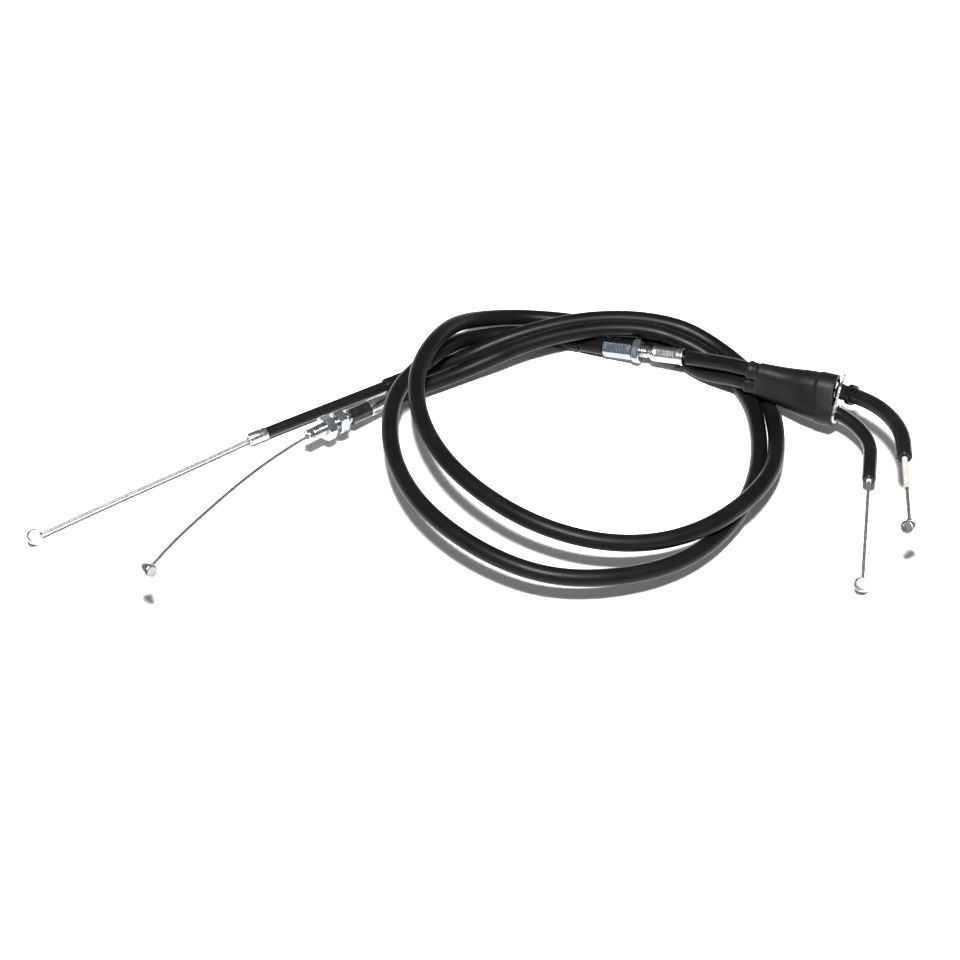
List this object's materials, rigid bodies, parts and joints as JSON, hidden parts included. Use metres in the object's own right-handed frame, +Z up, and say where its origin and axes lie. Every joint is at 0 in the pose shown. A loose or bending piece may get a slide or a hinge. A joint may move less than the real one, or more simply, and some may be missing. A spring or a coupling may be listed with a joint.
{
  "type": "throttle cable pair",
  "caption": "Push-pull throttle cable pair: black conduits in a loose coil, in-line and threaded end adjusters, a shared rubber boot, bent guide pipes and barrel nipples.",
  "frame": {"origin": "centre of the bounding box's underside, on the surface that the coil lies on", "axes": "+X from the carburettor ends towards the grip ends, +Y across the coil towards the in-line adjuster, +Z up"},
  "size_m": [0.3786, 0.1939, 0.0351],
  "materials": {
    "cover_vinyl": "smooth black vinyl cable cover with a soft gloss",
    "boot_rubber": "moulded black rubber, satin",
    "black_metal": "gloss black painted steel tube",
    "zinc_steel": "bright zinc plating",
    "barrel_steel": "turned hexagon bar with a blue passivated zinc plating",
    "wire_steel": "galvanised stranded wire",
    "casing_steel": "close-wound steel strip",
    "liner_white": "natural, slightly greyed low-friction plastic"
  },
  "bodies": {
    "cable_set": {"adjuster_ferrule": "zinc_steel", "adjuster_screw": "zinc_steel", "adjuster_sleeve": "cover_vinyl", "boot": "boot_rubber", "pull_carb_adjuster": "zinc_steel", "pull_carb_crimp": "black_metal", "pull_carb_ferrule": "zinc_steel", "pull_conduit_casing": "casing_steel", "pull_conduit_cover": "cover_vinyl", "pull_elbow_collar": "black_metal", "pull_elbow_pipe": "black_metal", "pull_grip_crimp": "zinc_steel", "pull_inner_wire": "wire_steel", "pull_liner": "liner_white", "pull_upper_casing": "casing_steel", "pull_upper_cover": "cover_vinyl", "retaining_plate": "zinc_steel", "return_carb_ferrule": "zinc_steel", "return_carb_tube": "black_metal", "return_conduit_casing": "casing_steel", "return_conduit_cover": "cover_vinyl", "return_elbow_pipe": "black_metal", "return_grip_crimp": "zinc_steel", "return_inner_wire": "wire_steel", "return_liner": "liner_white", "return_tube_sleeve": "cover_vinyl"},
    "pull_grip_end": {"pull_wire_grip": "wire_steel", "pull_nipple_grip": "zinc_steel"},
    "pull_carb_end": {"pull_wire_carb": "wire_steel", "pull_nipple_carb": "zinc_steel"},
    "return_grip_end": {"return_wire_grip": "wire_steel", "return_nipple_grip": "zinc_steel"},
    "return_carb_end": {"return_wire_carb": "wire_steel", "return_nipple_carb": "zinc_steel"},
    "nut_a": {"pull_carb_nut_a": "zinc_steel"},
    "nut_b": {"pull_carb_nut_b": "zinc_steel"},
    "barrel": {"adjuster_barrel": "barrel_steel"},
    "lock_nut": {"adjuster_lock_nut": "zinc_steel"}
  },
  "joints": [
    {"name": "pull_grip_slide", "type": "slide", "parent": "cable_set", "child": "pull_grip_end", "axis": [0.073, 0.9971, 0.0203], "range_m": [0, 0.018]},
    {"name": "pull_carb_slide", "type": "slide", "parent": "cable_set", "child": "pull_carb_end", "axis": [-0.7443, -0.6554, 0.1283], "range_m": [0, 0.018]},
    {"name": "return_grip_slide", "type": "slide", "parent": "cable_set", "child": "return_grip_end", "axis": [0.155, 0.9828, 0.1006], "range_m": [0, 0.018]},
    {"name": "return_carb_slide", "type": "slide", "parent": "cable_set", "child": "return_carb_end", "axis": [-0.862, -0.507, 0], "range_m": [0, 0.018]},
    {"name": "nut_a_travel", "type": "slide", "parent": "cable_set", "child": "nut_a", "axis": [-0.7443, -0.6554, 0.1283], "range_m": [-0.0006, 0.0068]},
    {"name": "nut_b_travel", "type": "slide", "parent": "cable_set", "child": "nut_b", "axis": [-0.7443, -0.6554, 0.1283], "range_m": [-0.0033, 0.0006]},
    {"name": "barrel_turn", "type": "hinge", "parent": "cable_set", "child": "barrel", "pos_m": [0.0622, 0.0718, 0.0061], "axis": [0.928, -0.3457, 0.1392], "range_deg": [-1080, 1080]},
    {"name": "lock_nut_travel", "type": "slide", "parent": "cable_set", "child": "lock_nut", "axis": [0.928, -0.3457, 0.1392], "range_m": [0, 0.0042]}
  ],
  "couplings": [
    {"joint": "pull_carb_slide", "follows": "pull_grip_slide", "ratio": 1},
    {"joint": "return_carb_slide", "follows": "return_grip_slide", "ratio": 1}
  ]
}
